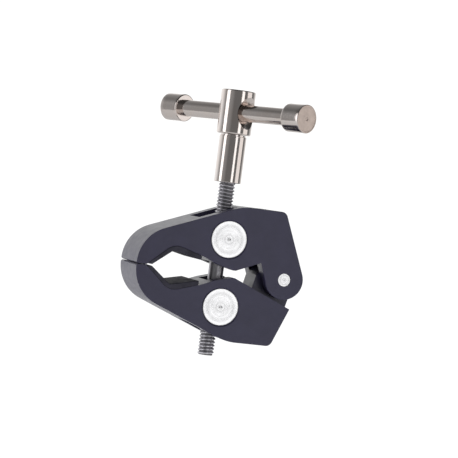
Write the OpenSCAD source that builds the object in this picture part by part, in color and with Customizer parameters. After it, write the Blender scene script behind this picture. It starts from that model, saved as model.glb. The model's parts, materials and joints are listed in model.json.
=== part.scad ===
// Super clamp: two cast jaws on a hinge pin, drawn together by a screw with a left-hand
// thread in its upper half and a right-hand thread in its lower half.
// X runs from the mouth to the hinge, Y along the gripped pipe, Z up to the handle.
// The origin is the middle of the mouth, where the axis of a gripped pipe lies.

/* [Jaws] */
// Width of both jaws along the gripped pipe
jaw_w = 23.5; // [20:0.5:26]
// Height of each jaw's flat outer face over the closing plane
jaw_h = 25.2; // [25:0.1:27]
// Gap left between the closed tips
tip_gap = 0.3; // [0.2:0.1:0.6]
// Radius of the rounded nose
nose_r = 14.4; // [14.2:0.1:14.6]
// Slope of the long outer face, in degrees
outer_slope = 21.3; // [21:0.1:21.6]
// Radius of the hinge knuckles
knuckle_r = 7.4; // [7:0.1:7.6]
// Width of the slot between the upper jaw's two cheeks
clevis_w = 12.4; // [12:0.1:13]
// Side play of the lower jaw's tongue in the slot
tongue_play = 0.15; // [0.1:0.05:0.3]

/* [Hinge and barrel nuts] */
// Distance from the mouth's middle to the hinge pin
pin_x = 42.3; // [42:0.1:42.6]
// Radius of the hinge pin
pin_r = 2.5; // [2:0.1:2.8]
// Distance from the mouth's middle to the screw
screw_x = 19; // [18.8:0.1:19.2]
// Height of each barrel nut over the closing plane
nut_z = 12.6; // [12.4:0.1:12.8]
// Radius of a barrel nut
nut_r = 6.9; // [6.7:0.05:7]
// Radial running clearance of pins and threads
run_gap = 0.05; // [0.02:0.01:0.08]

/* [Screw] */
// Radius of the quarter-inch screw over its thread crests
screw_r = 3.175; // [3:0.025:3.2]
// Radius of the plain shank between the two threads
shank_r = 2.85; // [2.5:0.05:3]
// Half-length of the plain shank
shank_half = 5.5; // [4:0.5:6]
// Length of screw below the closing plane
screw_low = 31.7; // [30:0.1:34]
// Width of the slots that the screw tilts in
screw_slot_w = 12.4; // [12:0.1:13]

/* [Handle] */
// Height of the sleeve's lower end over the closing plane
sleeve_z = 33.4; // [33:0.1:35]
// Radius of the sleeve
sleeve_r = 5.1; // [4.8:0.1:5.5]
// Height of the handle head's lower face over the closing plane
head_z = 51.5; // [51:0.1:53]
// Radius of the handle head
head_r = 6.5; // [6.2:0.1:7]
// Height of the handle head
head_h = 16.6; // [16:0.1:17]
// Height of the cross bar over the closing plane
bar_z = 59.8; // [59.5:0.1:60]
// Radius of the cross bar
bar_r = 3.2; // [3:0.05:3.25]
// Half of the cross bar's length over its caps
bar_half = 35.6; // [33:0.1:38]
// Turn of the cross bar about the screw, in degrees
bar_turn = -60.5; // [-90:0.5:90]
// Radius of a bar cap
cap_r = 5.25; // [5:0.05:5.5]
// Length of a bar cap
cap_len = 8.5; // [8:0.5:10]

/* [Accessory sockets] */
// Distance from the mouth's middle to both sockets
socket_x = 32.5; // [32:0.1:33]
// Core radius of the quarter-inch socket in the upper jaw
small_socket_r = 2.55; // [2.5:0.01:2.6]
// Core radius of the three-eighths socket in the lower jaw
large_socket_r = 3.97; // [3.9:0.01:4]
// Depth of both sockets
socket_depth = 12; // [9:0.5:12]

/* [Hidden] */
$fn = 96;

cast_color = [0.20, 0.20, 0.25];
rubber_color = [0.12, 0.12, 0.12];
steel_color = [0.80, 0.80, 0.80];
handle_color = [0.78, 0.75, 0.74];
cap_color = [0.62, 0.59, 0.56];

// Amount that a cutter runs past the face it cuts
past = 1;
// Gap round a piece that is pressed into another
seat_gap = 0.02;
tip_z = tip_gap / 2;
nose_c = [-0.6, 0.6];
nose_foot = [-14.4, tip_z];
nose_steps = 20;
// Where the nose's arc runs into the sloping outer face
slope_start = nose_c + nose_r * [-sin(outer_slope), cos(outer_slope)];
// Where the outer face meets the flat top, before they are blended
slope_end = [
    slope_start[0] + (jaw_h - slope_start[1]) / tan(outer_slope),
    jaw_h
];
crown_r = 18;
crown_reach = crown_r * tan(outer_slope / 2);
crown_c = [slope_end[0] + crown_reach, jaw_h - crown_r];
crown_steps = 8;
crown = arc(crown_c, crown_r, 90 + outer_slope, 90, crown_steps);
rear_lean = 22.2;
rear_corner_r = 2.5;
rear_corner_steps = 6;
rear_corner = [38.2, jaw_h - rear_corner_r];
// The bearing face of the casting behind the pad, from the tip to the pad's rear end
pad_back = [
    [-10.9, 0.45], [-3.6, 6.9], [-2.1, 7.7], [-0.4, 8.1], [1.7, 7.8],
    [5, 6.8], [9.5, 5.45]
];
pad_face = [[9.5, 3.8], [-1.5, 6.2], [-9, 0.3]];
// The casting's underside from the pad to its lowest point over the screw
throat = [[11, 4.9], [15.1, 3.25], [19, 2.1], [22.1, 1.35], [23.1, 1.38]];
cheek_front = [32.5, 5.3];
knuckle_front_angle = -172;
knuckle_steps = 24;
tip_corner = [-10.9, tip_z];
// The profile from the tip, round the nose and over the top, to the rear corner
outer_face = concat(
    [nose_foot],
    arc(nose_c, nose_r, 180, 90 + outer_slope, nose_steps),
    crown,
    arc(rear_corner, rear_corner_r, 90, rear_lean, rear_corner_steps)
);

// The screw slot's front and rear sides, from its upper end to its lower end
slot_front = [[7.2, jaw_h + past], [8.2, 19], [14.5, 10.5], [14.5, -past]];
slot_rear = [[22.6, jaw_h + past], [22.6, nut_z], [27.2, 1.5], [27.8, -past]];

clevis_x = 28.5;
clevis_roof = 8.8;
// How far the clevis cutter reaches towards the hinge and below the closing plane
clevis_reach = 40;
clevis_drop = 20;
// The tongue and shoulders of the lower jaw, drawn over the closing plane and mirrored
tongue_w = clevis_w - 2 * tongue_play;
tongue_r = 7.3;
tongue_front = [[31.5, 6], [32, 3.9], [33, -0.6]];
tongue_front_angle = 216;
tongue_rear_angle = 395;
tongue_steps = 20;
tongue_rear = [[46.6, 7.3], [45.7, 10.9]];
// The end of the tongue that is buried in the lower jaw
tongue_root = [[38, 16], [31.5, 12]];
shoulder_rear = [45.8, 10.7];

nut_len = jaw_w - 0.4;
nut_edge = 0.3;
pin_len = jaw_w - 0.2;
pin_edge = 0.2;
nut_bore_r = nut_r + run_gap;
nut_rim = 0.45;
screw_edge = 0.6;
shank_edge = 0.3;
screw_top = 55.6;
sleeve_edge = 0.3;
neck_h = 0.5;
neck_r = 4.7;
head_gap = 0.1;
head_low_edge = 0.6;
head_top_edge = 0.5;
bar_gap = 0.08;
bar_bore_r = bar_r + bar_gap;
bar_sink_r = 6;
bar_sink_depth = bar_sink_r - bar_bore_r;
bar_end_gap = 1.5;
cap_edge = 0.35;
socket_edge = 0.9;

// Points round an arc, for a polygon
function arc(c, r, from, to, steps) = [
    for (i = [0 : steps])
        let (a = from + (to - from) * i / steps) c + r * [cos(a), sin(a)]
];

// The same points in the opposite order
function backwards(points) = [for (i = [1 : len(points)]) points[len(points) - i]];

module across(width) {
    // A profile drawn in X and Z, given a width along Y
    rotate([90, 0, 0]) linear_extrude(width, center = true) children();
}

module cross_pin(at, r, len, edge) {
    // A round pin along Y with chamfered ends
    translate([at[0], 0, at[1]]) rotate([90, 0, 0]) {
        cylinder(r = r, h = len - 2 * edge, center = true);
        for (end = [0, 180]) rotate([end, 0, 0])
            translate([0, 0, len / 2 - edge]) cylinder(r1 = r, r2 = r - edge, h = edge);
    }
}

module screw_slot() {
    // The fan-shaped slot that lets the screw tilt about the upper barrel nut
    across(screw_slot_w) polygon(concat(slot_front, backwards(slot_rear)));
}

module nut_seat() {
    // The cross bore of a barrel nut, with its rims broken
    translate([screw_x, 0, nut_z]) rotate([90, 0, 0]) {
        cylinder(r = nut_bore_r, h = jaw_w + 2 * past, center = true);
        for (end = [0, 180]) rotate([end, 0, 0]) translate([0, 0, jaw_w / 2 - nut_rim])
            cylinder(r1 = nut_bore_r, r2 = nut_bore_r + 2 * nut_rim, h = 2 * nut_rim);
    }
}

module socket(r) {
    // A blind accessory socket in a jaw's flat outer face
    translate([socket_x, 0, jaw_h - socket_depth]) cylinder(r = r, h = socket_depth + past);
    translate([socket_x, 0, jaw_h - socket_edge])
        cylinder(r1 = r, r2 = r + 2 * socket_edge, h = 2 * socket_edge);
}

module upper_jaw() {
    color(cast_color) difference() {
        across(jaw_w) polygon(concat(
            outer_face,
            arc([pin_x, 0], knuckle_r, rear_lean, knuckle_front_angle, knuckle_steps),
            [cheek_front], backwards(throat), backwards(pad_back), [tip_corner]
        ));
        screw_slot();
        nut_seat();
        socket(small_socket_r);
        translate([clevis_x, -clevis_w / 2, -clevis_drop])
            cube([clevis_reach, clevis_w, clevis_drop + clevis_roof]);
        translate([pin_x, 0, 0]) rotate([90, 0, 0])
            cylinder(r = pin_r + seat_gap, h = jaw_w + 2 * past, center = true);
    }
}

module lower_jaw() {
    color(cast_color) difference() {
        mirror([0, 0, 1]) {
            across(jaw_w) polygon(concat(
                outer_face, [shoulder_rear], backwards(throat), backwards(pad_back), [tip_corner]
            ));
            across(tongue_w) polygon(concat(
                tongue_front,
                arc([pin_x, 0], tongue_r, tongue_front_angle, tongue_rear_angle, tongue_steps),
                tongue_rear, tongue_root
            ));
        }
        mirror([0, 0, 1]) {
            screw_slot();
            nut_seat();
            socket(large_socket_r);
        }
        translate([pin_x, 0, 0]) rotate([90, 0, 0])
            cylinder(r = pin_r + run_gap, h = jaw_w, center = true);
    }
}

module jaw_pad() {
    // A rubber pad on the casting's bearing face
    across(jaw_w) polygon(concat(pad_back, pad_face));
}

module upper_jaw_pad() {
    color(rubber_color) jaw_pad();
}

module lower_jaw_pad() {
    color(rubber_color) mirror([0, 0, 1]) jaw_pad();
}

module hinge_pin() {
    color(steel_color) cross_pin([pin_x, 0], pin_r, pin_len, pin_edge);
}

module barrel_nut(z) {
    // A round nut across the jaw, drilled through for the screw
    difference() {
        cross_pin([screw_x, z], nut_r, nut_len, nut_edge);
        translate([screw_x, 0, z])
            cylinder(r = screw_r + run_gap, h = 4 * nut_r, center = true);
    }
}

module upper_barrel_nut() {
    color(steel_color) barrel_nut(nut_z);
}

module lower_barrel_nut() {
    color(steel_color) barrel_nut(-nut_z);
}

module clamp_screw() {
    color(steel_color) translate([screw_x, 0, 0]) rotate_extrude() polygon([
        [0, -screw_low], [screw_r - screw_edge, -screw_low],
        [screw_r, -screw_low + screw_edge], [screw_r, -shank_half],
        [shank_r, -shank_half + shank_edge], [shank_r, shank_half - shank_edge],
        [screw_r, shank_half], [screw_r, screw_top], [0, screw_top]
    ]);
}

module handle_sleeve() {
    color(handle_color) translate([screw_x, 0, 0]) rotate_extrude() polygon([
        [screw_r + run_gap, sleeve_z], [sleeve_r - sleeve_edge, sleeve_z],
        [sleeve_r, sleeve_z + sleeve_edge], [sleeve_r, head_z - neck_h - head_gap],
        [neck_r, head_z - neck_h - head_gap], [neck_r, head_z - head_gap],
        [screw_r + run_gap, head_z - head_gap]
    ]);
}

module along_bar() {
    // Turns a shape drawn along Z to lie along the cross bar, with Z = 0 on the screw
    translate([screw_x, 0, bar_z]) rotate([0, 0, bar_turn]) rotate([0, 90, 0]) children();
}

module handle_head() {
    color(handle_color) difference() {
        translate([screw_x, 0, head_z]) rotate_extrude() polygon([
            [0, 0], [head_r - head_low_edge, 0], [head_r, head_low_edge],
            [head_r, head_h - head_top_edge], [head_r - head_top_edge, head_h], [0, head_h]
        ]);
        translate([screw_x, 0, head_z - past])
            cylinder(r = screw_r + seat_gap, h = screw_top - head_z + past);
        along_bar() {
            cylinder(r = bar_bore_r, h = 4 * head_r, center = true);
            for (side = [0, 180]) rotate([side, 0, 0])
                translate([0, 0, head_r - bar_sink_depth])
                    cylinder(r1 = bar_bore_r, r2 = bar_bore_r + 2 * bar_sink_depth,
                             h = 2 * bar_sink_depth);
        }
    }
}

module tommy_bar() {
    color(handle_color) along_bar()
        cylinder(r = bar_r, h = 2 * (bar_half - bar_end_gap), center = true);
}

module bar_cap() {
    // A round cap over one end of the cross bar
    difference() {
        translate([0, 0, bar_half - cap_len]) rotate_extrude() polygon([
            [0, 0], [cap_r - cap_edge, 0], [cap_r, cap_edge],
            [cap_r, cap_len - cap_edge], [cap_r - cap_edge, cap_len], [0, cap_len]
        ]);
        translate([0, 0, -past])
            cylinder(r = bar_r + seat_gap, h = bar_half - bar_end_gap + past);
    }
}

module bar_cap_left() {
    color(cap_color) along_bar() rotate([180, 0, 0]) bar_cap();
}

module bar_cap_right() {
    color(cap_color) along_bar() bar_cap();
}

upper_jaw();
lower_jaw();
upper_jaw_pad();
lower_jaw_pad();
hinge_pin();
upper_barrel_nut();
lower_barrel_nut();
clamp_screw();
handle_sleeve();
handle_head();
tommy_bar();
bar_cap_left();
bar_cap_right();
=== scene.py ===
"""The looks of a small super clamp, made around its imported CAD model.

Every length is in metres, in the CAD model's own frame: X runs from the mouth to the hinge,
Y along the gripped pipe and Z up to the handle.
"""

import json
import math

import bmesh
import bpy
from bpy.props import FloatProperty, FloatVectorProperty, IntProperty, PointerProperty
from mathutils import Matrix, Vector

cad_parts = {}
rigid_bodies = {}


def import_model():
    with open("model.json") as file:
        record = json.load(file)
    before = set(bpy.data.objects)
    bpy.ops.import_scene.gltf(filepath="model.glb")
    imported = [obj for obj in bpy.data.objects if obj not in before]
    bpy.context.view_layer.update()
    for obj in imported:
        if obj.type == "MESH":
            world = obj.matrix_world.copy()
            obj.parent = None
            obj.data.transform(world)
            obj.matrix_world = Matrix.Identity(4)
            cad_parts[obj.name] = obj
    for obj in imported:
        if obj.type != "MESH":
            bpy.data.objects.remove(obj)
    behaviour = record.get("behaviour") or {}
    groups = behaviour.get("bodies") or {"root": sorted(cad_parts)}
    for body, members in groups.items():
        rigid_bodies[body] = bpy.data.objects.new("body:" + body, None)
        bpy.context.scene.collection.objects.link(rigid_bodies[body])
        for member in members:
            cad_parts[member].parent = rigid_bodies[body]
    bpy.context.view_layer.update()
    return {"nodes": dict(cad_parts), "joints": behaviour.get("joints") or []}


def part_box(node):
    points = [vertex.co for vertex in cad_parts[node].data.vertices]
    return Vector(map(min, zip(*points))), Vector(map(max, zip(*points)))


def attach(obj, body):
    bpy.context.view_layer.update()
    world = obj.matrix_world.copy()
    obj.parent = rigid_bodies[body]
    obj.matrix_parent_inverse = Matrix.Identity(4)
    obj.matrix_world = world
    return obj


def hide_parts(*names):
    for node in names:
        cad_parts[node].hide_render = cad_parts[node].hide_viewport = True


bl_info = {
    "name": "Super Clamp",
    "version": (1, 0, 0),
    "blender": (4, 5, 0),
    "location": "View3D > Sidebar > Clamp",
    "description": "Builds the finished pieces of a small super clamp around its CAD model",
    "category": "Add Mesh",
}

for leftover in list(bpy.data.objects):
    bpy.data.objects.remove(leftover)
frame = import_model()

MM = 0.001
# Distances within which points are one point, in a made mesh and in the CAD's
WELD = 1e-7
CAD_WELD = 1e-6
# Edges that turn by more than these are drawn sharp, on turned or cut pieces and on threads
SHARP_TURN = math.radians(32)
THREAD_TURN = math.radians(40)


# ---------------------------------------------------------------- places read from the frame

def middle(node):
    """The middle of a CAD node's box."""
    low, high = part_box(node)
    return (Vector(low) + Vector(high)) / 2


def extent(node):
    """The size of a CAD node's box."""
    low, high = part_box(node)
    return Vector(high) - Vector(low)


def joint(name):
    """One joint of the frame, by its name."""
    return next(j for j in frame["joints"] if j["name"] == name)


SCREW_X = middle("clamp_screw").x
SCREW_R = extent("clamp_screw").x / 2
PIN = middle("hinge_pin")
BAR_AXIS = Vector(joint("bar_slide")["axis"])
BAR_MIDDLE = middle("tommy_bar")
CAP_SPAN = (middle("bar_cap_right") - middle("bar_cap_left")).length

# Accessory sockets: their place, depth, mouth chamfer, core radii and pitches
SOCKET_X = 32.5 * MM
SOCKET_DEPTH = 12 * MM
SOCKET_CHAMFER = 0.9 * MM
SMALL_CORE = 2.55 * MM
LARGE_CORE = 3.97 * MM
SMALL_PITCH = 1.27 * MM
LARGE_PITCH = 1.5875 * MM
# How far a socket's thread stays off its floor, off its bore and inside its own tube
THREAD_LIFT = 0.05 * MM
TUBE_GAP = 0.01 * MM
TUBE_WALL = 0.06 * MM
# Gaps of the running fits: round the screw, nuts and hinge pin, and round the cross bar
RUN_GAP = 0.05 * MM
BAR_GAP = 0.08 * MM
# How near to a circle a point counts as on it, and how far a nut seat's broken rim lies
# outside the nut
CIRCLE_SPAN = 0.08 * MM
SEAT_RIM = 0.5 * MM
# Rims and centre marks of the barrel nuts and the hinge pin
NUT_RIM = 0.25 * MM
NUT_MARK = 0.10 * MM
PIN_RIM = 0.18 * MM
PIN_MARK = 0.06 * MM
# Reach of the drill that bores a barrel nut, to each side
DRILL_REACH = 12 * MM
# Widest radius of the head's countersinks
SINK_R = 6 * MM
# Length of a bar cap, how far its end lies back, and how deep the rod stops inside it
CAP_LENGTH = 8.5 * MM
CAP_INSET = 0.10 * MM
ROD_SHORT = 1.5 * MM


# ---------------------------------------------------------------- sizes and colours

class ClampSizes(bpy.types.PropertyGroup):
    """Sizes that finish the clamp's pieces."""

    casting_edge: FloatProperty(
        name="Casting edge", description="Width of the round on a casting's edges",
        default=0.30 * MM, unit="LENGTH")
    pad_edge: FloatProperty(
        name="Pad edge", description="Width of the round on a rubber pad's edges",
        default=0.35 * MM, unit="LENGTH")
    thread_pitch: FloatProperty(
        name="Screw pitch", description="Distance between the crests of the screw's thread",
        default=1.27 * MM, unit="LENGTH")
    thread_depth: FloatProperty(
        name="Screw thread depth", description="Depth of the screw's thread",
        default=0.62 * MM, unit="LENGTH")
    shank_radius: FloatProperty(
        name="Shank radius", description="Radius of the plain shank between the threads",
        default=2.85 * MM, unit="LENGTH")
    shank_half: FloatProperty(
        name="Shank half-length", description="Half of the length of the plain shank",
        default=5.5 * MM, unit="LENGTH")
    small_major: FloatProperty(
        name="Small socket radius", description="Radius at the roots of the small socket's thread",
        default=3.175 * MM, unit="LENGTH")
    large_major: FloatProperty(
        name="Large socket radius", description="Radius at the roots of the large socket's thread",
        default=4.7625 * MM, unit="LENGTH")
    round_steps: IntProperty(
        name="Round steps", description="Flats round a turned piece", default=128, min=16)


class ClampColours(bpy.types.PropertyGroup):
    """Colours of the clamp's materials, in linear light."""

    casting: FloatVectorProperty(
        name="Casting", description="Dark coat of the two jaws", subtype="COLOR",
        size=3, default=(0.047, 0.044, 0.096))
    rubber: FloatVectorProperty(
        name="Rubber", description="Moulded rubber of the pads", subtype="COLOR",
        size=3, default=(0.040, 0.039, 0.055))
    steel: FloatVectorProperty(
        name="Turned steel", description="Nuts and hinge pin", subtype="COLOR",
        size=3, default=(0.80, 0.80, 0.81))
    screw: FloatVectorProperty(
        name="Screw", description="Plain steel of the screw", subtype="COLOR",
        size=3, default=(0.90, 0.89, 0.94))
    nickel: FloatVectorProperty(
        name="Nickel", description="Nickel plate of the handle", subtype="COLOR",
        size=3, default=(0.76, 0.71, 0.69))
    cap_end: FloatVectorProperty(
        name="Cap end", description="Turned end faces of the bar caps", subtype="COLOR",
        size=3, default=(0.74, 0.63, 0.57))


def sizes():
    """The sizes set on the scene."""
    return bpy.context.scene.clamp_sizes


def colours():
    """The colours set on the scene."""
    return bpy.context.scene.clamp_colours


# ---------------------------------------------------------------- material helpers

def new_material(name, base, metallic, roughness):
    """A material and its nodes, links and shader, with the shader's constants set."""
    material = bpy.data.materials.new(name)
    material.use_nodes = True
    nodes, links = material.node_tree.nodes, material.node_tree.links
    shader = nodes["Principled BSDF"]
    shader.inputs["Base Color"].default_value = (*base, 1)
    shader.inputs["Metallic"].default_value = metallic
    shader.inputs["Roughness"].default_value = roughness
    return material, nodes, links, shader


def object_point(nodes, links, origin=(0, 0, 0), turn=(0, 0, 0)):
    """Object coordinates, moved so that origin is zero and then turned."""
    coordinates = nodes.new("ShaderNodeTexCoord")
    place = nodes.new("ShaderNodeMapping")
    place.vector_type = "POINT"
    shifted = Matrix.Rotation(turn[2], 3, "Z") @ -Vector(origin)
    place.inputs["Location"].default_value = shifted
    place.inputs["Rotation"].default_value = turn
    links.new(coordinates.outputs["Object"], place.inputs["Vector"])
    return place.outputs["Vector"]


def noise(nodes, links, vector, scale, detail=4, stretch=(1, 1, 1)):
    """Noise on a point, stretched along its axes."""
    texture = nodes.new("ShaderNodeTexNoise")
    texture.inputs["Scale"].default_value = scale
    texture.inputs["Detail"].default_value = detail
    if stretch != (1, 1, 1):
        scaled = nodes.new("ShaderNodeVectorMath")
        scaled.operation = "MULTIPLY"
        scaled.inputs[1].default_value = stretch
        links.new(vector, scaled.inputs[0])
        vector = scaled.outputs[0]
    links.new(vector, texture.inputs["Vector"])
    return texture.outputs["Fac"]


def spread(nodes, links, value, low, high):
    """A value from 0.3 to 0.7, the middle of a noise, spread from low to high."""
    ranged = nodes.new("ShaderNodeMapRange")
    ranged.inputs["From Min"].default_value = 0.3
    ranged.inputs["From Max"].default_value = 0.7
    ranged.inputs["To Min"].default_value = low
    ranged.inputs["To Max"].default_value = high
    links.new(value, ranged.inputs["Value"])
    return ranged.outputs["Result"]


def mix_colour(nodes, links, factor, first, second):
    """A colour between two, by a factor."""
    mixer = nodes.new("ShaderNodeMix")
    mixer.data_type = "RGBA"
    mixer.inputs["A"].default_value = (*first, 1)
    mixer.inputs["B"].default_value = (*second, 1)
    links.new(factor, mixer.inputs["Factor"])
    return mixer.outputs["Result"]


def bump(nodes, links, shader, height, distance, strength=1.0, under=None):
    """Adds a bump to a shader, over another one if under is given."""
    relief = nodes.new("ShaderNodeBump")
    relief.inputs["Distance"].default_value = distance
    relief.inputs["Strength"].default_value = strength
    links.new(height, relief.inputs["Height"])
    if under:
        links.new(under, relief.inputs["Normal"])
    links.new(relief.outputs["Normal"], shader.inputs["Normal"])
    return relief.outputs["Normal"]


def distance_from_axis(nodes, links, point, keep):
    """The distance of a point from the axis that keep zeroes, as (1, 0, 1) does for Y."""
    flat = nodes.new("ShaderNodeVectorMath")
    flat.operation = "MULTIPLY"
    flat.inputs[1].default_value = keep
    links.new(point, flat.inputs[0])
    length = nodes.new("ShaderNodeVectorMath")
    length.operation = "LENGTH"
    links.new(flat.outputs[0], length.inputs[0])
    return length.outputs["Value"]


def ring_noise(nodes, links, value, scale, detail=3):
    """Noise along one number, which draws rings or turning lines."""
    texture = nodes.new("ShaderNodeTexNoise")
    texture.noise_dimensions = "1D"
    texture.inputs["Scale"].default_value = scale
    texture.inputs["Detail"].default_value = detail
    links.new(value, texture.inputs["W"])
    return texture.outputs["Fac"]


def along(nodes, links, point, axis):
    """How far a point lies along an axis."""
    dot = nodes.new("ShaderNodeVectorMath")
    dot.operation = "DOT_PRODUCT"
    dot.inputs[1].default_value = axis
    links.new(point, dot.inputs[0])
    return dot.outputs["Value"]


# ---------------------------------------------------------------- materials

def casting_material():
    """Dark satin coat over a fine-grained aluminium casting."""
    base = tuple(colours().casting)
    material, nodes, links, shader = new_material("dark_coat", base, 0.0, 0.42)
    shader.inputs["Specular IOR Level"].default_value = 0.2
    shader.inputs["Coat Weight"].default_value = 0.5
    shader.inputs["Coat Roughness"].default_value = 0.28
    point = object_point(nodes, links)
    cloud = noise(nodes, links, point, 160, 5)
    light = tuple(c * 1.08 for c in base)
    dark = tuple(c * 0.92 for c in base)
    shade = mix_colour(nodes, links, spread(nodes, links, cloud, 0, 1), dark, light)
    links.new(shade, shader.inputs["Base Color"])
    patches = noise(nodes, links, point, 420, 4)
    links.new(spread(nodes, links, patches, 0.36, 0.50), shader.inputs["Roughness"])
    skin = bump(nodes, links, shader, noise(nodes, links, point, 900, 3), 0.00002, 0.5)
    bump(nodes, links, shader, noise(nodes, links, point, 3600, 2), 0.00001, 0.6, skin)
    return material


def rubber_material():
    """Matt moulded rubber with a fine grain and a little dust."""
    base = tuple(colours().rubber)
    material, nodes, links, shader = new_material("pad_rubber", base, 0.0, 0.72)
    shader.inputs["Specular IOR Level"].default_value = 0.35
    point = object_point(nodes, links)
    dust = noise(nodes, links, point, 260, 6)
    pale = tuple(c * 1.9 for c in base)
    links.new(mix_colour(nodes, links, spread(nodes, links, dust, 0, 1), base, pale),
              shader.inputs["Base Color"])
    links.new(spread(nodes, links, noise(nodes, links, point, 700, 3), 0.62, 0.82),
              shader.inputs["Roughness"])
    bump(nodes, links, shader, noise(nodes, links, point, 2600, 3), 0.00008, 0.7)
    return material


def faced_steel_material(name, centre, roughness=0.22):
    """Bright steel turned about an axis along Y, with fine rings on its end faces."""
    base = tuple(colours().steel)
    material, nodes, links, shader = new_material(name, base, 1.0, roughness)
    point = object_point(nodes, links, origin=centre)
    radius = distance_from_axis(nodes, links, point, (1, 0, 1))
    rings = ring_noise(nodes, links, radius, 5200, 4)
    broad = ring_noise(nodes, links, radius, 900, 2)
    stain = noise(nodes, links, point, 330, 5)
    dull = tuple(c * 0.88 for c in base)
    links.new(mix_colour(nodes, links, spread(nodes, links, stain, 0, 1), dull, base),
              shader.inputs["Base Color"])
    links.new(spread(nodes, links, broad, roughness - 0.06, roughness + 0.10),
              shader.inputs["Roughness"])
    fine = bump(nodes, links, shader, rings, 0.000020, 0.8)
    bump(nodes, links, shader, broad, 0.000060, 0.7, fine)
    return material


def turned_nickel_material(name, centre, axis):
    """Bright nickel plate over faint turning lines round an axis."""
    base = tuple(colours().nickel)
    material, nodes, links, shader = new_material(name, base, 1.0, 0.16)
    point = object_point(nodes, links, origin=centre)
    height = along(nodes, links, point, axis)
    lines = ring_noise(nodes, links, height, 4200, 4)
    haze = noise(nodes, links, point, 210, 5)
    warm = (base[0], base[1] * 0.965, base[2] * 0.93)
    links.new(mix_colour(nodes, links, spread(nodes, links, haze, 0, 1), warm, base),
              shader.inputs["Base Color"])
    links.new(spread(nodes, links, haze, 0.06, 0.13), shader.inputs["Roughness"])
    bump(nodes, links, shader, lines, 0.000012, 0.6)
    return material


def cap_end_material(centre, axis):
    """The cap's turned end: duller plate with rings about the bar's axis."""
    base = tuple(colours().cap_end)
    material, nodes, links, shader = new_material("cap_end_plate", base, 0.85, 0.42)
    point = object_point(nodes, links, origin=centre)
    cross = nodes.new("ShaderNodeVectorMath")
    cross.operation = "CROSS_PRODUCT"
    cross.inputs[1].default_value = axis
    links.new(point, cross.inputs[0])
    radius = distance_from_axis(nodes, links, cross.outputs[0], (1, 1, 1))
    rings = ring_noise(nodes, links, radius, 4800, 4)
    stain = noise(nodes, links, point, 420, 5)
    dull = tuple(c * 0.82 for c in base)
    links.new(mix_colour(nodes, links, spread(nodes, links, stain, 0, 1), dull, base),
              shader.inputs["Base Color"])
    links.new(spread(nodes, links, rings, 0.34, 0.50), shader.inputs["Roughness"])
    bump(nodes, links, shader, rings, 0.00003, 0.8)
    return material


def screw_material():
    """Plain screw steel, with painted shade darkening the roots of its thread."""
    base = tuple(colours().screw)
    material, nodes, links, shader = new_material("screw_steel", base, 1.0, 0.40)
    point = object_point(nodes, links, origin=(SCREW_X, 0, 0))
    radius = distance_from_axis(nodes, links, point, (1, 1, 0))
    # Painted shade: the colour falls to 0.30 of the steel towards the thread's roots, where shade falls
    depth = nodes.new("ShaderNodeMapRange")
    depth.inputs["From Min"].default_value = SCREW_R - 0.5 * MM
    depth.inputs["From Max"].default_value = SCREW_R - 0.1 * MM
    links.new(radius, depth.inputs["Value"])
    root = tuple(c * 0.30 for c in base)
    links.new(mix_colour(nodes, links, depth.outputs["Result"], root, base),
              shader.inputs["Base Color"])
    grime = noise(nodes, links, point, 600, 5)
    links.new(spread(nodes, links, grime, 0.32, 0.50), shader.inputs["Roughness"])
    bump(nodes, links, shader, noise(nodes, links, point, 3000, 3), 0.00002, 0.5)
    return material


def bored_aluminium_material(name, centre):
    """Bare cut aluminium in an accessory socket's thread."""
    material, nodes, links, shader = new_material(name, (0.42, 0.42, 0.44), 1.0, 0.38)
    point = object_point(nodes, links, origin=centre)
    grain = noise(nodes, links, point, 1800, 4)
    links.new(mix_colour(nodes, links, spread(nodes, links, grain, 0, 1),
                         (0.25, 0.25, 0.27), (0.46, 0.46, 0.48)),
              shader.inputs["Base Color"])
    links.new(spread(nodes, links, grain, 0.30, 0.48), shader.inputs["Roughness"])
    bump(nodes, links, shader, grain, 0.00002, 0.6)
    return material


# ---------------------------------------------------------------- mesh helpers

def smooth_faces(bm, turn):
    """Smooths a mesh's faces and marks the edges that turn by more than an angle."""
    for face in bm.faces:
        face.smooth = True
    for edge in bm.edges:
        sharp = len(edge.link_faces) == 2 and edge.calc_face_angle(0) > turn
        edge.smooth = not sharp


def object_from(bm, name, materials):
    """A finished object from a bmesh, with smooth faces and its sharp edges marked."""
    smooth_faces(bm, SHARP_TURN)
    mesh = bpy.data.meshes.new(name)
    bm.to_mesh(mesh)
    bm.free()
    for material in materials:
        mesh.materials.append(material)
    made = bpy.data.objects.new(name, mesh)
    bpy.context.scene.collection.objects.link(made)
    return made


def basis(centre, axis):
    """The matrix that puts a shape drawn about Z at a centre, along an axis."""
    turn = Vector((0, 0, 1)).rotation_difference(Vector(axis).normalized()).to_matrix()
    return Matrix.Translation(Vector(centre)) @ turn.to_4x4()


def lathe(profile, centre, axis, steps, closed=False):
    """A bmesh turned from (radius, height) pairs about an axis."""
    bm = bmesh.new()
    rings = []
    for radius, height in profile:
        if radius < WELD:
            rings.append([bm.verts.new((0, 0, height))])
        else:
            rings.append([
                bm.verts.new((radius * math.cos(2 * math.pi * i / steps),
                              radius * math.sin(2 * math.pi * i / steps), height))
                for i in range(steps)
            ])
    pairs = list(zip(rings, rings[1:]))
    if closed:
        pairs.append((rings[-1], rings[0]))
    for low, high in pairs:
        for i in range(steps):
            k = (i + 1) % steps
            corners = [low[i % len(low)], low[k % len(low)], high[k % len(high)], high[i % len(high)]]
            ring = list(dict.fromkeys(corners))
            if len(ring) > 2:
                bm.faces.new(ring)
    bmesh.ops.recalc_face_normals(bm, faces=bm.faces)
    bmesh.ops.transform(bm, matrix=basis(centre, axis), verts=bm.verts)
    return bm


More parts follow.
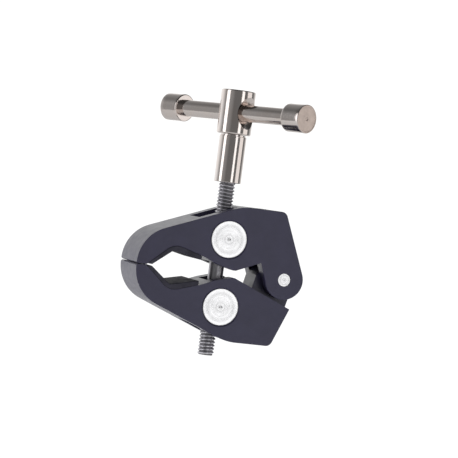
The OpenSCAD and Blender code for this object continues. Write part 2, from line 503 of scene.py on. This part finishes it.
def rounded(corner_in, corner, corner_out, radius, steps=4):
    """Points of a round at a profile's corner, between the two points beside it."""
    corner = Vector(corner)
    back = (Vector(corner_in) - corner).normalized() * radius
    ahead = (Vector(corner_out) - corner).normalized() * radius
    points = []
    for i in range(steps + 1):
        t = i / steps
        points.append(tuple(corner + back * (1 - t) ** 2 + ahead * t ** 2))
    return points


def subdivided(start, end, steps):
    """Points from start up to, and without, end."""
    start, end = Vector(start), Vector(end)
    return [tuple(start + (end - start) * i / steps) for i in range(steps)]


def cut(target, cutters):
    """Takes cutter objects out of a target, and removes the cutters."""
    for cutter in cutters:
        boolean = target.modifiers.new("cut", "BOOLEAN")
        boolean.operation = "DIFFERENCE"
        boolean.solver = "EXACT"
        boolean.object = cutter
        depsgraph = bpy.context.evaluated_depsgraph_get()
        result = bpy.data.meshes.new_from_object(target.evaluated_get(depsgraph))
        target.modifiers.remove(boolean)
        old = target.data
        target.data = result
        result.name = old.name
        bpy.data.meshes.remove(old)
        bpy.data.objects.remove(cutter)
    remark(target)


def remark(target):
    """Cleans an object's mesh and marks its smooth faces and sharp edges again."""
    bm = bmesh.new()
    bm.from_mesh(target.data)
    bmesh.ops.remove_doubles(bm, verts=bm.verts, dist=WELD)
    bmesh.ops.dissolve_degenerate(bm, edges=bm.edges, dist=WELD)
    smooth_faces(bm, SHARP_TURN)
    bm.to_mesh(target.data)
    bm.free()


def merged_copy(node):
    """A bmesh of a CAD node, welded, with its flat faces joined up."""
    bm = bmesh.new()
    bm.from_mesh(frame["nodes"][node].data)
    bmesh.ops.remove_doubles(bm, verts=bm.verts, dist=CAD_WELD)
    bmesh.ops.dissolve_limit(bm, angle_limit=math.radians(0.5), verts=bm.verts, edges=bm.edges)
    return bm


def on_circle(vertex, centre, radii):
    """Whether a vertex lies on one of some circles about an axis along Y."""
    away = math.hypot(vertex.co.x - centre[0], vertex.co.z - centre[2])
    return any(abs(away - radius) < CIRCLE_SPAN for radius in radii)


def round_edges(bm, width, spared, angle=28):
    """Rounds a mesh's sharp edges, apart from those that spared() picks out."""
    picked = [
        e for e in bm.edges
        if len(e.link_faces) == 2
        and e.calc_face_angle(0) > math.radians(angle)
        and not spared(e)
    ]
    bmesh.ops.bevel(bm, geom=picked, offset=width, offset_type="OFFSET", segments=3,
                    profile=0.5, affect="EDGES", clamp_overlap=True)


def weighted(target):
    """Keeps flat faces flat beside their rounded edges."""
    modifier = target.modifiers.new("flat_faces", "WEIGHTED_NORMAL")
    modifier.keep_sharp = True
    modifier.weight = 80


# ---------------------------------------------------------------- geometry nodes

class Tree:
    """A geometry node tree being built, with short ways to add its nodes."""

    def __init__(self, name, inputs):
        self.tree = bpy.data.node_groups.new(name, "GeometryNodeTree")
        face = self.tree.interface
        self.sockets = {}
        for title, kind in inputs.items():
            item = face.new_socket(title, in_out="INPUT", socket_type=kind)
            self.sockets[title] = item.identifier
        face.new_socket("Geometry", in_out="OUTPUT", socket_type="NodeSocketGeometry")
        self.start = self.tree.nodes.new("NodeGroupInput")
        self.end = self.tree.nodes.new("NodeGroupOutput")

    def given(self, title):
        """The socket of one input."""
        return self.start.outputs[title]

    def put(self, source, socket):
        """Sets a socket to a number, or links a source to it."""
        if isinstance(source, (int, float)):
            socket.default_value = source
        else:
            self.tree.links.new(source, socket)

    def node(self, kind, **settings):
        """A new node with its settings."""
        made = self.tree.nodes.new(kind)
        for key, value in settings.items():
            setattr(made, key, value)
        return made

    def math(self, operation, *values):
        """The result of a sum on numbers or sockets."""
        made = self.node("ShaderNodeMath", operation=operation)
        for i, value in enumerate(values):
            self.put(value, made.inputs[i])
        return made.outputs[0]

    def finish(self, geometry, material):
        """Gives the geometry its material and ends the tree."""
        real = self.node("GeometryNodeRealizeInstances")
        painted = self.node("GeometryNodeSetMaterial")
        self.put(geometry, real.inputs["Geometry"])
        self.put(real.outputs[0], painted.inputs["Geometry"])
        self.put(material, painted.inputs["Material"])
        self.put(painted.outputs[0], self.end.inputs[0])
        return self.tree


def ring_sheet(g):
    """A sheet of rings and flats, with each point's turn and its share of the height."""
    grid = g.node("GeometryNodeMeshGrid")
    for size in ("Size X", "Size Y"):
        grid.inputs[size].default_value = 1
    g.put(g.math("ADD", g.given("Flats"), 1), grid.inputs["Vertices X"])
    g.put(g.math("ADD", g.given("Rings"), 1), grid.inputs["Vertices Y"])
    place = g.node("GeometryNodeInputPosition")
    parts = g.node("ShaderNodeSeparateXYZ")
    g.put(place.outputs[0], parts.inputs[0])
    turn = g.math("MULTIPLY", g.math("ADD", parts.outputs[0], 0.5), 2 * math.pi)
    share = g.math("ADD", parts.outputs[1], 0.5)
    return grid.outputs["Mesh"], turn, share


def thread_wave(g, turn, height, hand):
    """The thread's outline from 0 at the root to 1 at the crest, with flats at both."""
    advance = g.math("MULTIPLY", g.math("DIVIDE", turn, 2 * math.pi), g.given("Pitch"))
    along_helix = g.math("SUBTRACT", height, g.math("MULTIPLY", advance, hand))
    phase = g.math("FRACT", g.math("DIVIDE", along_helix, g.given("Pitch")))
    saw = g.math("ABSOLUTE", g.math("SUBTRACT", g.math("MULTIPLY", phase, 2), 1))
    steep = g.math("SUBTRACT", g.math("MULTIPLY", saw, 1.45), 0.26)
    return g.math("MINIMUM", g.math("MAXIMUM", steep, 0), 1)


def placed_rings(g, mesh, turn, radius, height):
    """Moves a sheet's points to their rings about the axis, and joins its seam."""
    spot = g.node("ShaderNodeCombineXYZ")
    g.put(g.math("MULTIPLY", g.math("COSINE", turn), radius), spot.inputs[0])
    g.put(g.math("MULTIPLY", g.math("SINE", turn), radius), spot.inputs[1])
    g.put(height, spot.inputs[2])
    centre = g.node("ShaderNodeCombineXYZ")
    g.put(g.given("Axis X"), centre.inputs[0])
    summed = g.node("ShaderNodeVectorMath", operation="ADD")
    g.put(spot.outputs[0], summed.inputs[0])
    g.put(centre.outputs[0], summed.inputs[1])
    moved = g.node("GeometryNodeSetPosition")
    g.put(mesh, moved.inputs["Geometry"])
    g.put(summed.outputs[0], moved.inputs["Position"])
    welded = g.node("GeometryNodeMergeByDistance")
    welded.inputs["Distance"].default_value = WELD
    g.put(moved.outputs[0], welded.inputs["Geometry"])
    return welded.outputs[0]


def screw_tree():
    """A rod with a left-hand thread above its plain shank and a right-hand one below."""
    g = Tree("two_hand_screw", {
        "Axis X": "NodeSocketFloat", "Crest Radius": "NodeSocketFloat",
        "Depth": "NodeSocketFloat", "Pitch": "NodeSocketFloat",
        "Shank Radius": "NodeSocketFloat", "Shank Half": "NodeSocketFloat",
        "Bottom": "NodeSocketFloat", "Top": "NodeSocketFloat",
        "Thread Top": "NodeSocketFloat", "Flats": "NodeSocketInt",
        "Rings": "NodeSocketInt", "Material": "NodeSocketMaterial",
    })
    mesh, turn, share = ring_sheet(g)
    step = g.math("DIVIDE", 1, g.given("Rings"))
    stretched = g.math("SUBTRACT", g.math("MULTIPLY", share,
                       g.math("ADD", 1, g.math("MULTIPLY", step, 2))), step)
    clamped = g.math("MINIMUM", g.math("MAXIMUM", stretched, 0), 1)
    length = g.math("SUBTRACT", g.given("Top"), g.given("Bottom"))
    height = g.math("ADD", g.given("Bottom"), g.math("MULTIPLY", clamped, length))
    hand = g.math("MULTIPLY", g.math("SIGN", height), -1)
    wave = thread_wave(g, turn, height, hand)
    cut_in = g.math("MULTIPLY", g.given("Depth"), g.math("SUBTRACT", 1, wave))
    threaded = g.math("SUBTRACT", g.given("Crest Radius"), cut_in)
    away = g.math("SUBTRACT", g.math("ABSOLUTE", height), g.given("Shank Half"))
    fade = g.math("MINIMUM", g.math("MAXIMUM", g.math("DIVIDE", away, g.given("Pitch")), 0), 1)
    above = g.math("LESS_THAN", height, g.given("Thread Top"))
    mask = g.math("MULTIPLY", fade, above)
    gain = g.math("MULTIPLY", g.math("SUBTRACT", threaded, g.given("Shank Radius")), mask)
    radius = g.math("ADD", g.given("Shank Radius"), gain)
    rise = g.math("SUBTRACT", height, g.given("Bottom"))
    tip = g.math("ADD", g.math("MULTIPLY", rise, 1.2),
                 g.math("SUBTRACT", g.given("Crest Radius"), g.given("Depth")))
    radius = g.math("MINIMUM", radius, tip)
    inner = g.math("MULTIPLY",
                   g.math("GREATER_THAN", share, g.math("MULTIPLY", step, 0.5)),
                   g.math("LESS_THAN", share, g.math("SUBTRACT", 1, g.math("MULTIPLY", step, 0.5))))
    radius = g.math("MULTIPLY", radius, inner)
    return g, g.finish(placed_rings(g, mesh, turn, radius, height), g.given("Material"))


def socket_tree():
    """The threaded wall of a socket: a thin tube whose inside is a right-hand thread."""
    g = Tree("socket_thread", {
        "Axis X": "NodeSocketFloat", "Core Radius": "NodeSocketFloat",
        "Depth": "NodeSocketFloat", "Pitch": "NodeSocketFloat",
        "Outer Radius": "NodeSocketFloat", "Bottom": "NodeSocketFloat",
        "Top": "NodeSocketFloat", "Flats": "NodeSocketInt",
        "Rings": "NodeSocketInt", "Material": "NodeSocketMaterial",
    })
    mesh, turn, share = ring_sheet(g)
    step = g.math("DIVIDE", 1, g.given("Rings"))
    stretched = g.math("DIVIDE", g.math("SUBTRACT", share, step),
                       g.math("SUBTRACT", 1, g.math("MULTIPLY", step, 3)))
    clamped = g.math("MINIMUM", g.math("MAXIMUM", stretched, 0), 1)
    last = g.math("GREATER_THAN", share, g.math("SUBTRACT", 1, g.math("MULTIPLY", step, 0.5)))
    first = g.math("LESS_THAN", share, g.math("MULTIPLY", step, 0.5))
    ending = g.math("GREATER_THAN", share, g.math("SUBTRACT", 1, g.math("MULTIPLY", step, 1.5)))
    length = g.math("SUBTRACT", g.given("Top"), g.given("Bottom"))
    climb = g.math("MULTIPLY", clamped, g.math("SUBTRACT", 1, last))
    height = g.math("ADD", g.given("Bottom"), g.math("MULTIPLY", climb, length))
    wave = thread_wave(g, turn, height, 1)
    inside = g.math("ADD", g.given("Core Radius"),
                    g.math("MULTIPLY", g.given("Depth"), g.math("SUBTRACT", 1, wave)))
    outer = g.math("MAXIMUM", first, ending)
    reach = g.math("MULTIPLY", g.math("SUBTRACT", g.given("Outer Radius"), inside), outer)
    radius = g.math("ADD", inside, reach)
    return g, g.finish(placed_rings(g, mesh, turn, radius, height), g.given("Material"))


def grown(name, tree_of, values):
    """The plain mesh object that a geometry node tree makes from named values."""
    g, tree = tree_of()
    seed = bpy.data.objects.new(name, bpy.data.meshes.new(name))
    bpy.context.scene.collection.objects.link(seed)
    modifier = seed.modifiers.new("grow", "NODES")
    modifier.node_group = tree
    for title, value in values.items():
        modifier[g.sockets[title]] = value
    depsgraph = bpy.context.evaluated_depsgraph_get()
    mesh = bpy.data.meshes.new_from_object(seed.evaluated_get(depsgraph))
    seed.modifiers.remove(modifier)
    seed.data = mesh
    mesh.name = name
    bm = bmesh.new()
    bm.from_mesh(mesh)
    bmesh.ops.recalc_face_normals(bm, faces=bm.faces)
    smooth_faces(bm, THREAD_TURN)
    bm.to_mesh(mesh)
    bm.free()
    return seed


# ---------------------------------------------------------------- stage

# name, turn from the front and rise in degrees, distance, (width, height), watts, colour
LIGHTS = (
    ("left_softbox", -85, 6, 0.90, (0.36, 0.90), 1.55, (1.0, 0.99, 1.0)),
    ("right_strip", 17.5, 2, 0.90, (0.27, 1.10), 1.22, (1.0, 1.0, 1.0)),
    ("right_fill", 66, 4, 0.90, (0.60, 0.70), 1.15, (1.0, 0.97, 0.95)),
)
LIGHT_AIM = Vector((SCREW_X, 0, 20 * MM))
VIEW_TURN = math.radians(-17.3)
VIEW_RISE = math.radians(1.15)
VIEW_ROLL = math.radians(7.32)
VIEW_DISTANCE = 0.750
VIEW_LENS = 157
VIEW_AIM = Vector((SCREW_X + 3.0 * MM, 0, 16.2 * MM))
FLOOR_Z = -0.30
FLOOR_RADIUS = 0.95
# Brightness of the room in front of the clamp, behind it and on its left, and of the backdrop
ROOM_FRONT = 0.16
ROOM_BACK = 1.05
ROOM_LEFT = 0.30
# How much of the walls' brightness the ceiling keeps
CEILING_SHARE = 0.30
BACKDROP = 1.08


def toward(turn, rise):
    """The direction at a turn from the front, towards the right, and a rise."""
    return Vector((math.sin(turn) * math.cos(rise), -math.cos(turn) * math.cos(rise),
                   math.sin(rise)))


def lay_floor():
    """A plain pale floor under the clamp."""
    bm = bmesh.new()
    bmesh.ops.create_circle(bm, cap_ends=True, segments=128, radius=FLOOR_RADIUS)
    bmesh.ops.translate(bm, verts=bm.verts, vec=(0, 0, FLOOR_Z))
    material, nodes, links, shader = new_material("pale_floor", (0.93, 0.93, 0.93), 0, 0.8)
    point = object_point(nodes, links)
    links.new(mix_colour(nodes, links, noise(nodes, links, point, 3, 2),
                         (0.92, 0.92, 0.92), (0.94, 0.94, 0.94)), shader.inputs["Base Color"])
    shader.inputs["Emission Color"].default_value = (1, 1, 1, 1)
    shader.inputs["Emission Strength"].default_value = 0.32
    object_from(bm, "floor", [material])


def light_world(scene):
    """A room that is dim in front of the clamp and light behind it, with a white backdrop."""
    world = bpy.data.worlds.new("studio")
    scene.world = world
    world.use_nodes = True
    nodes, links = world.node_tree.nodes, world.node_tree.links
    direction = nodes.new("ShaderNodeTexCoord").outputs["Generated"]

    def ramped(axis, start, end, low, high):
        """Brightness that goes from low to high with the direction along an axis."""
        ranged = nodes.new("ShaderNodeMapRange")
        ranged.interpolation_type = "SMOOTHSTEP"
        ranged.inputs["From Min"].default_value = start
        ranged.inputs["From Max"].default_value = end
        ranged.inputs["To Min"].default_value = low
        ranged.inputs["To Max"].default_value = high
        links.new(along(nodes, links, direction, axis), ranged.inputs["Value"])
        return ranged.outputs["Result"]

    room = ramped((0, 1, 0), 0.05, 0.92, ROOM_FRONT, ROOM_BACK)
    left = ramped((-1, 0, 0), 0.25, 0.95, 0, ROOM_LEFT)
    backdrop = ramped(-toward(VIEW_TURN, VIEW_RISE), 0.955, 0.980, 0, BACKDROP)
    brightest = room
    for other in (left, backdrop):
        most = nodes.new("ShaderNodeMath")
        most.operation = "MAXIMUM"
        links.new(brightest, most.inputs[0])
        links.new(other, most.inputs[1])
        brightest = most.outputs[0]
    dimmed = nodes.new("ShaderNodeMath")
    dimmed.operation = "MULTIPLY"
    links.new(brightest, dimmed.inputs[0])
    links.new(ramped((0, 0, 1), 0.25, 0.70, 1, CEILING_SHARE), dimmed.inputs[1])
    links.new(dimmed.outputs[0], nodes["Background"].inputs["Color"])


def soft_light(name, turn, rise, distance, size, power, colour):
    """A rectangular light that faces the clamp and stays out of sight itself."""
    light = bpy.data.lights.new(name, "AREA")
    light.shape = "RECTANGLE"
    light.size, light.size_y = size
    light.energy = power
    light.color = colour
    lamp = bpy.data.objects.new(name, light)
    away = toward(math.radians(turn), math.radians(rise))
    lamp.location = LIGHT_AIM + away * distance
    lamp.rotation_euler = (-away).to_track_quat("-Z", "Y").to_euler()
    lamp.visible_camera = False
    bpy.context.scene.collection.objects.link(lamp)


def set_camera(scene):
    """A long lens low in front of the clamp, rolled a little."""
    camera = bpy.data.cameras.new("camera")
    camera.lens = VIEW_LENS
    camera.sensor_width = 36
    camera.clip_start = 0.01
    rig = bpy.data.objects.new("camera", camera)
    away = toward(VIEW_TURN, VIEW_RISE)
    rig.location = VIEW_AIM + away * VIEW_DISTANCE
    look = (-away).to_track_quat("-Z", "Y").to_matrix()
    rig.rotation_euler = (look @ Matrix.Rotation(VIEW_ROLL, 3, "Z")).to_euler()
    scene.collection.objects.link(rig)
    scene.camera = rig


# ---------------------------------------------------------------- operators

class CLAMP_OT_stage(bpy.types.Operator):
    """Lay the floor, hang the lights and set the camera"""

    bl_idname = "clamp.stage"
    bl_label = "Stage"

    def execute(self, context):
        scene = context.scene
        scene.view_settings.view_transform = "Standard"
        lay_floor()
        light_world(scene)
        for light in LIGHTS:
            soft_light(*light)
        set_camera(scene)
        return {"FINISHED"}


def casting(node, name, hole_radius, major_radius, coat):
    """A jaw casting with rounded edges, and its socket opened to the thread's roots."""
    bm = merged_copy(node)
    nut = middle("upper_barrel_nut" if node == "upper_jaw" else "lower_barrel_nut")
    nut_r = extent("upper_barrel_nut").x / 2
    pin_r = extent("hinge_pin").x / 2
    for vertex in bm.verts:
        away = Vector((vertex.co.x - SOCKET_X, vertex.co.y))
        if abs(away.length - hole_radius) < 0.04 * MM:
            wide = away.normalized() * major_radius
            vertex.co.x, vertex.co.y = SOCKET_X + wide.x, wide.y

    def spared(edge):
        ends = edge.verts
        near_nut = all(on_circle(v, nut, (nut_r, nut_r + RUN_GAP, nut_r + SEAT_RIM))
                       for v in ends)
        near_pin = all(on_circle(v, PIN, (pin_r, pin_r + RUN_GAP)) for v in ends)
        near_socket = all(
            math.hypot(v.co.x - SOCKET_X, v.co.y) < major_radius + 0.6 * MM
            and abs(v.co.z) > 12 * MM for v in ends)
        return near_nut or near_pin or near_socket

    round_edges(bm, sizes().casting_edge, spared)
    made = object_from(bm, name, [coat])
    weighted(made)
    return made


class CLAMP_OT_castings(bpy.types.Operator):
    """Make the two jaw castings"""

    bl_idname = "clamp.castings"
    bl_label = "Castings"

    def execute(self, context):
        jobs = (("upper_jaw", "upper_casting", SMALL_CORE, sizes().small_major),
                ("lower_jaw", "lower_casting", LARGE_CORE, sizes().large_major))
        coat = casting_material()
        for node, name, hole, major in jobs:
            piece = casting(node, name, hole, major, coat)
            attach(piece, node)
            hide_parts(node)
        return {"FINISHED"}


class CLAMP_OT_sockets(bpy.types.Operator):
    """Cut the threads of the two accessory sockets"""

    bl_idname = "clamp.sockets"
    bl_label = "Socket threads"

    def execute(self, context):
        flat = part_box("upper_jaw")[1][2]
        jobs = (
            ("upper_jaw", "small_socket_thread", SMALL_CORE, sizes().small_major, SMALL_PITCH, 1),
            ("lower_jaw", "large_socket_thread", LARGE_CORE, sizes().large_major, LARGE_PITCH, -1),
        )
        for body, name, core, major, pitch, side in jobs:
            mouth = side * (flat - SOCKET_CHAMFER)
            floor = side * (flat - SOCKET_DEPTH + THREAD_LIFT)
            low, high = min(mouth, floor), max(mouth, floor)
            piece = grown(name, socket_tree, {
                "Axis X": SOCKET_X, "Core Radius": core, "Depth": major - core - TUBE_WALL,
                "Pitch": pitch, "Outer Radius": major - TUBE_GAP, "Bottom": low, "Top": high,
                "Flats": 64, "Rings": 132,
                "Material": bored_aluminium_material(name + "_metal", (SOCKET_X, 0, 0)),
            })
            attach(piece, body)
        return {"FINISHED"}


class CLAMP_OT_pads(bpy.types.Operator):
    """Make the two rubber pads"""

    bl_idname = "clamp.pads"
    bl_label = "Pads"

    def execute(self, context):
        rubber = rubber_material()
        for node, body in (("upper_jaw_pad", "upper_jaw"), ("lower_jaw_pad", "lower_jaw")):
            bm = merged_copy(node)
            round_edges(bm, sizes().pad_edge, lambda edge: False, 50)
            piece = object_from(bm, node.replace("jaw_pad", "rubber_pad"), [rubber])
            weighted(piece)
            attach(piece, body)
            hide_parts(node)
        return {"FINISHED"}


def faced_pin(radius, half, edge, dimple):
    """The profile of a round pin with flat faces, small rims and a centre mark."""
    face = [(0, half - dimple), (radius * 0.05, half - dimple), (radius * 0.08, half),
            (radius * 0.10, half), (radius * 0.5, half), (radius - 1.5 * edge, half)]
    rim = rounded((radius * 0.5, half), (radius, half), (radius, 0), edge)
    top = face + rim + [(radius, half - 1.5 * edge)]
    body = [(radius, half * (1 - i / 8)) for i in range(2, 15)]
    return top + body + [(r, -h) for r, h in reversed(top)]


class CLAMP_OT_nuts(bpy.types.Operator):
    """Turn and drill the two barrel nuts, and turn the hinge pin"""

    bl_idname = "clamp.nuts"
    bl_label = "Barrel nuts and pin"

    def execute(self, context):
        steps = sizes().round_steps
        across = Vector((0, 1, 0))
        for node, body in (("upper_barrel_nut", "upper_nut"), ("lower_barrel_nut", "lower_nut")):
            centre, size = middle(node), extent(node)
            material = faced_steel_material(node + "_steel", centre)
            profile = faced_pin(size.x / 2, size.y / 2, NUT_RIM, NUT_MARK)
            nut = object_from(lathe(profile, centre, across, steps), node + "_turned", [material])
            hole_r = SCREW_R + RUN_GAP
            tool = [(0, -DRILL_REACH), (hole_r, -DRILL_REACH),
                    (hole_r, DRILL_REACH), (0, DRILL_REACH)]
            drill = object_from(lathe(tool, centre, (0, 0, 1), 96), "drill", [material])
            cut(nut, [drill])
            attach(nut, body)
            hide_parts(node)
        centre, size = middle("hinge_pin"), extent("hinge_pin")
        material = faced_steel_material("hinge_pin_steel", centre)
        profile = faced_pin(size.x / 2, size.y / 2, PIN_RIM, PIN_MARK)
        pin = object_from(lathe(profile, centre, across, 96), "hinge_pin_turned", [material])
        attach(pin, "upper_jaw")
        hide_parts("hinge_pin")
        return {"FINISHED"}


class CLAMP_OT_screw(bpy.types.Operator):
    """Cut the screw with its left-hand and right-hand threads"""

    bl_idname = "clamp.screw"
    bl_label = "Screw"

    def execute(self, context):
        low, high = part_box("clamp_screw")
        turns = (high[2] - low[2]) / sizes().thread_pitch
        piece = grown("threaded_screw", screw_tree, {
            "Axis X": SCREW_X, "Crest Radius": SCREW_R - 0.005 * MM,
            "Depth": sizes().thread_depth, "Pitch": sizes().thread_pitch,
            "Shank Radius": sizes().shank_radius, "Shank Half": sizes().shank_half,
            "Bottom": low[2], "Top": high[2],
            "Thread Top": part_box("handle_sleeve")[0][2] + 3 * MM,
            "Flats": 72, "Rings": round(turns * 12), "Material": screw_material(),
        })
        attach(piece, "screw")
        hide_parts("clamp_screw")
        return {"FINISHED"}


class CLAMP_OT_handle(bpy.types.Operator):
    """Turn the handle's sleeve and its cross-drilled head"""

    bl_idname = "clamp.handle"
    bl_label = "Sleeve and head"

    def execute(self, context):
        steps = sizes().round_steps
        centre = Vector((SCREW_X, 0, 0))
        up = Vector((0, 0, 1))
        nickel = turned_nickel_material("handle_nickel", centre, up)
        low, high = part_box("handle_sleeve")
        r, bore = extent("handle_sleeve").x / 2, SCREW_R + RUN_GAP
        neck = r - 0.4 * MM
        outside = [
            (bore, low[2]), *rounded((bore, low[2]), (r, low[2]), (r, high[2]), 0.35 * MM),
            *subdivided((r, low[2] + 1 * MM), (r, high[2] - 1.2 * MM), 12),
            *rounded((r, low[2]), (r, high[2] - 0.5 * MM), (neck, high[2] - 0.5 * MM), 0.2 * MM),
            (neck, high[2] - 0.5 * MM), (neck, high[2]), (bore, high[2]),
        ]
        sleeve = object_from(lathe(outside, centre, up, steps, closed=True), "sleeve", [nickel])
        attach(sleeve, "sleeve")
        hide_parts("handle_sleeve")
        head = self.head(centre, up, nickel, steps)
        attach(head, "screw")
        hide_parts("handle_head")
        return {"FINISHED"}

    def head(self, centre, up, nickel, steps):
        """The head, drilled and countersunk for the bar and seated on the screw."""
        low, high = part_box("handle_head")
        r = extent("handle_head").x / 2
        top, bottom = high[2], low[2]
        profile = [
            (0, bottom), (r - 1.2 * MM, bottom),
            *rounded((0, bottom), (r, bottom), (r, top), 0.75 * MM),
            *subdivided((r, bottom + 1.8 * MM), (r, top - 1.0 * MM), 26),
            *rounded((r, bottom), (r, top), (0, top), 0.55 * MM, 5),
            (r * 0.6, top), (0, top),
        ]
        head = object_from(lathe(profile, centre, up, steps), "head", [nickel])
        bar_r = extent("tommy_bar").z / 2 + BAR_GAP
        inner = r - (SINK_R - bar_r)
        outer = inner + 2 * (SINK_R - bar_r)
        wide = 2 * SINK_R - bar_r
        tool = [(0, -outer), (wide, -outer), (bar_r, -inner), (bar_r, inner), (wide, outer), (0, outer)]
        drill = object_from(lathe(tool, BAR_MIDDLE, BAR_AXIS, 96), "drill", [nickel])
        bore = [(0, bottom - 1 * MM), (SCREW_R, bottom - 1 * MM),
                (SCREW_R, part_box("clamp_screw")[1][2]), (0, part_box("clamp_screw")[1][2])]
        seat = object_from(lathe(bore, centre, up, 96), "seat", [nickel])
        cut(head, [drill, seat])
        return head


class CLAMP_OT_bar(bpy.types.Operator):
    """Turn the sliding cross bar and its two caps"""

    bl_idname = "clamp.bar"
    bl_label = "Cross bar and caps"

    def execute(self, context):
        steps = sizes().round_steps
        nickel = turned_nickel_material("bar_nickel", BAR_MIDDLE, BAR_AXIS)
        end_plate = cap_end_material(BAR_MIDDLE, BAR_AXIS)
        bar_r = extent("tommy_bar").z / 2
        cap_r = extent("bar_cap_right").z / 2
        half = (CAP_SPAN + CAP_LENGTH) / 2 - CAP_INSET
        rod_half = half - ROD_SHORT
        rod = [(0, -rod_half), *subdivided((bar_r, -rod_half), (bar_r, rod_half), 24),
               (bar_r, rod_half), (0, rod_half)]
        bar = object_from(lathe(rod, BAR_MIDDLE, BAR_AXIS, 96), "cross_bar", [nickel])
        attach(bar, "cross_bar")
        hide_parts("tommy_bar")
        face = half - CAP_INSET
        profile = [
            (bar_r, half - CAP_LENGTH),
            *rounded((bar_r, half - CAP_LENGTH), (cap_r, half - CAP_LENGTH), (cap_r, half), 0.45 * MM),
            *subdivided((cap_r, half - CAP_LENGTH + 1.2 * MM), (cap_r, half - 1.2 * MM), 8),
            *rounded((cap_r, 0), (cap_r, half), (0, half), 0.35 * MM),
            (cap_r * 0.89, half), (cap_r * 0.87, face), (cap_r * 0.14, face),
            (cap_r * 0.10, face - 0.25 * MM), (0, face - 0.35 * MM), (0, half - 1.2 * MM),
            (bar_r, half - 1.2 * MM),
        ]
        for side, node in ((-1, "bar_cap_left"), (1, "bar_cap_right")):
            bm = lathe(profile, BAR_MIDDLE, BAR_AXIS * side, steps, closed=True)
            for f in bm.faces:
                away = (f.calc_center_median() - BAR_MIDDLE).dot(BAR_AXIS) * side
                flat = abs(f.normal.dot(BAR_AXIS)) > 0.6
                f.material_index = 1 if flat and away > half - 0.4 * MM else 0
            piece = object_from(bm, node.replace("bar_cap", "cap"), [nickel, end_plate])
            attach(piece, "cross_bar")
            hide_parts(node)
        return {"FINISHED"}


class CLAMP_PT_panel(bpy.types.Panel):
    """The clamp's pieces, in the order in which they are made"""

    bl_idname = "CLAMP_PT_panel"
    bl_label = "Super Clamp"
    bl_space_type = "VIEW_3D"
    bl_region_type = "UI"
    bl_category = "Clamp"

    def draw(self, context):
        for group in (context.scene.clamp_sizes, context.scene.clamp_colours):
            for key in group.__annotations__:
                self.layout.prop(group, key)
        for operator in OPERATORS:
            self.layout.operator(operator.bl_idname)


OPERATORS = (
    CLAMP_OT_stage, CLAMP_OT_castings, CLAMP_OT_sockets, CLAMP_OT_pads, CLAMP_OT_nuts,
    CLAMP_OT_screw, CLAMP_OT_handle, CLAMP_OT_bar,
)
CLASSES = (ClampSizes, ClampColours, *OPERATORS, CLAMP_PT_panel)


def register():
    for item in CLASSES:
        bpy.utils.register_class(item)
    bpy.types.Scene.clamp_sizes = PointerProperty(type=ClampSizes)
    bpy.types.Scene.clamp_colours = PointerProperty(type=ClampColours)


def unregister():
    del bpy.types.Scene.clamp_colours
    del bpy.types.Scene.clamp_sizes
    for item in reversed(CLASSES):
        bpy.utils.unregister_class(item)


def main():
    register()
    bpy.ops.clamp.stage()
    bpy.ops.clamp.castings()
    bpy.ops.clamp.sockets()
    bpy.ops.clamp.pads()
    bpy.ops.clamp.nuts()
    bpy.ops.clamp.screw()
    bpy.ops.clamp.handle()
    bpy.ops.clamp.bar()


if __name__ == "__main__":
    main()
